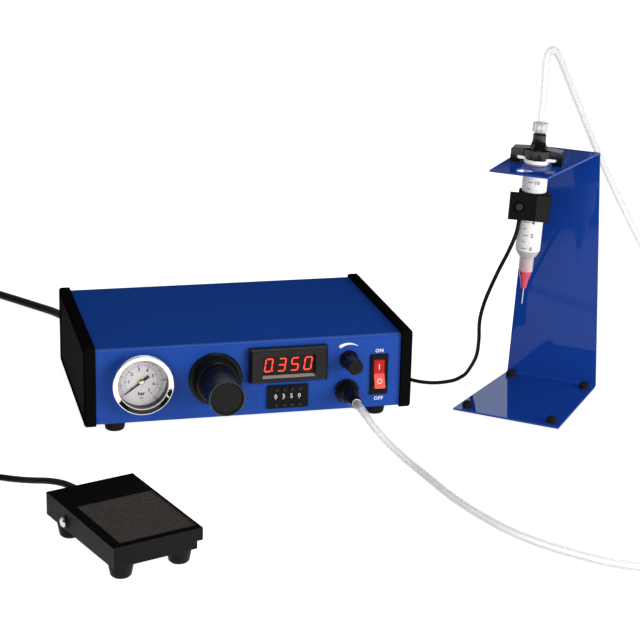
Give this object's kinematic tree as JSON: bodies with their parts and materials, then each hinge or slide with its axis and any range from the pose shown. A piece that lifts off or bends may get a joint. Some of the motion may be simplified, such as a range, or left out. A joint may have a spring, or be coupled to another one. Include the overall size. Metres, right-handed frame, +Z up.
{
  "type": "benchtop fluid dispenser",
  "caption": "Timed-air fluid dispenser set: a sheet-metal controller with moulded end cheeks, a foot pedal, and a folded stand that holds a syringe on a clear hose.",
  "frame": {"origin": "on the bench, under the middle of the set without its free cords", "axes": "+X along the controller's front from left to right, +Y from its front to its back, +Z up"},
  "size_m": [0.6557, 0.7035, 0.2785],
  "materials": {
    "blue_sheet": "gloss",
    "cheek_plastic": "matte",
    "foot_rubber": "matte",
    "bezel_chrome": "polished",
    "dial_white": "satin",
    "pointer_black": "satin",
    "lens_clear": "gloss",
    "gloss_black": "gloss",
    "satin_black": "satin",
    "steel": "satin",
    "display_red": "gloss",
    "rocker_red": "gloss",
    "button_grey": "satin",
    "board_green": "satin",
    "valve_aluminium": "satin",
    "barrel_clear": "gloss",
    "piston_white": "satin",
    "nut_clear": "gloss",
    "needle_pink": "gloss",
    "strap_webbing": "matte",
    "hose_clear": "gloss",
    "cord_black": "satin"
  },
  "bodies": {
    "bench_set": {"case_cover": "blue_sheet", "chassis": "blue_sheet", "end_cheeks": "cheek_plastic", "controller_feet": "foot_rubber", "gauge_case": "bezel_chrome", "gauge_dial": "dial_white", "gauge_lens": "lens_clear", "regulator_body": "gloss_black", "display_bezel": "satin_black", "display_module": "display_red", "pushwheel_frame": "satin_black", "rocker_frame": "satin_black", "vacuum_valve": "satin_black", "outlet_socket": "satin_black", "outlet_connector": "satin_black", "timer_board": "board_green", "valve_block": "valve_aluminium", "air_inlet": "satin_black", "signal_sockets": "steel", "mains_gland": "foot_rubber", "stand_bracket": "blue_sheet", "stand_feet": "foot_rubber", "syringe_barrel": "barrel_clear", "adapter_head": "satin_black", "luer_nut": "nut_clear", "needle": "needle_pink", "finger_strap": "strap_webbing", "pedal_base": "satin_black", "pedal_pins": "steel", "pedal_spring": "steel", "pedal_switch": "satin_black", "air_hose": "hose_clear", "finger_lead": "cord_black", "lead_plug": "cord_black", "mains_cord": "cord_black", "mains_coil": "cord_black", "mains_plug": "cord_black", "pedal_cord": "cord_black", "pedal_coil": "cord_black", "pedal_plug": "cord_black"},
    "pointer": {"gauge_pointer": "pointer_black"},
    "spindle": {"regulator_spindle": "steel"},
    "knob": {"regulator_knob": "gloss_black"},
    "vacuum_control": {"vacuum_knob": "satin_black"},
    "power_rocker": {"rocker": "rocker_red"},
    "wheel_1": {"digit_wheel_1": "satin_black"},
    "wheel_2": {"digit_wheel_2": "satin_black"},
    "wheel_3": {"digit_wheel_3": "satin_black"},
    "wheel_4": {"digit_wheel_4": "satin_black"},
    "plus_1": {"plus_button_1": "button_grey"},
    "plus_2": {"plus_button_2": "button_grey"},
    "plus_3": {"plus_button_3": "button_grey"},
    "plus_4": {"plus_button_4": "button_grey"},
    "minus_1": {"minus_button_1": "button_grey"},
    "minus_2": {"minus_button_2": "button_grey"},
    "minus_3": {"minus_button_3": "button_grey"},
    "minus_4": {"minus_button_4": "button_grey"},
    "treadle": {"pedal_treadle": "satin_black"},
    "finger_switch": {"finger_button": "button_grey"},
    "plunger": {"piston": "piston_white"}
  },
  "joints": [
    {"name": "gauge_needle", "type": "hinge", "parent": "bench_set", "child": "pointer", "pos_m": [-0.1418, 0.04, 0.0412], "axis": [0, 1, 0], "range_deg": [0, 270]},
    {"name": "regulator_turn", "type": "hinge", "parent": "bench_set", "child": "spindle", "pos_m": [-0.0868, 0.04, 0.0392], "axis": [0, 1, 0], "range_deg": [0, 2880]},
    {"name": "regulator_pull", "type": "slide", "parent": "spindle", "child": "knob", "axis": [0, -1, 0], "range_m": [0, 0.003]},
    {"name": "vacuum_turn", "type": "hinge", "parent": "bench_set", "child": "vacuum_control", "pos_m": [0.0146, 0.04, 0.0478], "axis": [0, 1, 0], "range_deg": [0, 1080]},
    {"name": "power_switch", "type": "hinge", "parent": "bench_set", "child": "power_rocker", "pos_m": [0.03825, 0.0415, 0.0349], "axis": [1, 0, 0], "range_deg": [0, 20]},
    {"name": "digit_1", "type": "hinge", "parent": "bench_set", "child": "wheel_1", "pos_m": [-0.0411, 0.0454, 0.0222], "axis": [1, 0, 0], "continuous": true},
    {"name": "digit_2", "type": "hinge", "parent": "bench_set", "child": "wheel_2", "pos_m": [-0.0351, 0.0454, 0.0222], "axis": [1, 0, 0], "continuous": true},
    {"name": "digit_3", "type": "hinge", "parent": "bench_set", "child": "wheel_3", "pos_m": [-0.0291, 0.0454, 0.0222], "axis": [1, 0, 0], "continuous": true},
    {"name": "digit_4", "type": "hinge", "parent": "bench_set", "child": "wheel_4", "pos_m": [-0.0231, 0.0454, 0.0222], "axis": [1, 0, 0], "continuous": true},
    {"name": "plus_press_1", "type": "slide", "parent": "bench_set", "child": "plus_1", "axis": [0, 1, 0], "range_m": [0, 0.0012], "stiffness_N_per_m": 300, "springref_m": -0.001},
    {"name": "plus_press_2", "type": "slide", "parent": "bench_set", "child": "plus_2", "axis": [0, 1, 0], "range_m": [0, 0.0012], "stiffness_N_per_m": 300, "springref_m": -0.001},
    {"name": "plus_press_3", "type": "slide", "parent": "bench_set", "child": "plus_3", "axis": [0, 1, 0], "range_m": [0, 0.0012], "stiffness_N_per_m": 300, "springref_m": -0.001},
    {"name": "plus_press_4", "type": "slide", "parent": "bench_set", "child": "plus_4", "axis": [0, 1, 0], "range_m": [0, 0.0012], "stiffness_N_per_m": 300, "springref_m": -0.001},
    {"name": "minus_press_1", "type": "slide", "parent": "bench_set", "child": "minus_1", "axis": [0, 1, 0], "range_m": [0, 0.0012], "stiffness_N_per_m": 300, "springref_m": -0.001},
    {"name": "minus_press_2", "type": "slide", "parent": "bench_set", "child": "minus_2", "axis": [0, 1, 0], "range_m": [0, 0.0012], "stiffness_N_per_m": 300, "springref_m": -0.001},
    {"name": "minus_press_3", "type": "slide", "parent": "bench_set", "child": "minus_3", "axis": [0, 1, 0], "range_m": [0, 0.0012], "stiffness_N_per_m": 300, "springref_m": -0.001},
    {"name": "minus_press_4", "type": "slide", "parent": "bench_set", "child": "minus_4", "axis": [0, 1, 0], "range_m": [0, 0.0012], "stiffness_N_per_m": 300, "springref_m": -0.001},
    {"name": "pedal_press", "type": "hinge", "parent": "bench_set", "child": "treadle", "pos_m": [-0.18967, -0.13874, 0.0176], "axis": [0.9421, 0.3355, 0], "range_deg": [0, 2], "stiffness_Nm_per_rad": 13, "springref_deg": -0.57, "deforming": ["pedal_spring"]},
    {"name": "finger_press", "type": "slide", "parent": "bench_set", "child": "finger_switch", "axis": [0.3489, 0.937, 0.0167], "range_m": [0, 0.0008], "stiffness_N_per_m": 400, "springref_m": -0.001},
    {"name": "piston_travel", "type": "slide", "parent": "bench_set", "child": "plunger", "axis": [-0.0372, 0.0317, -0.9988], "range_m": [0, 0.036]}
  ],
  "couplings": [
    {"joint": "gauge_needle", "follows": "regulator_turn", "ratio": 0.09375}
  ]
}
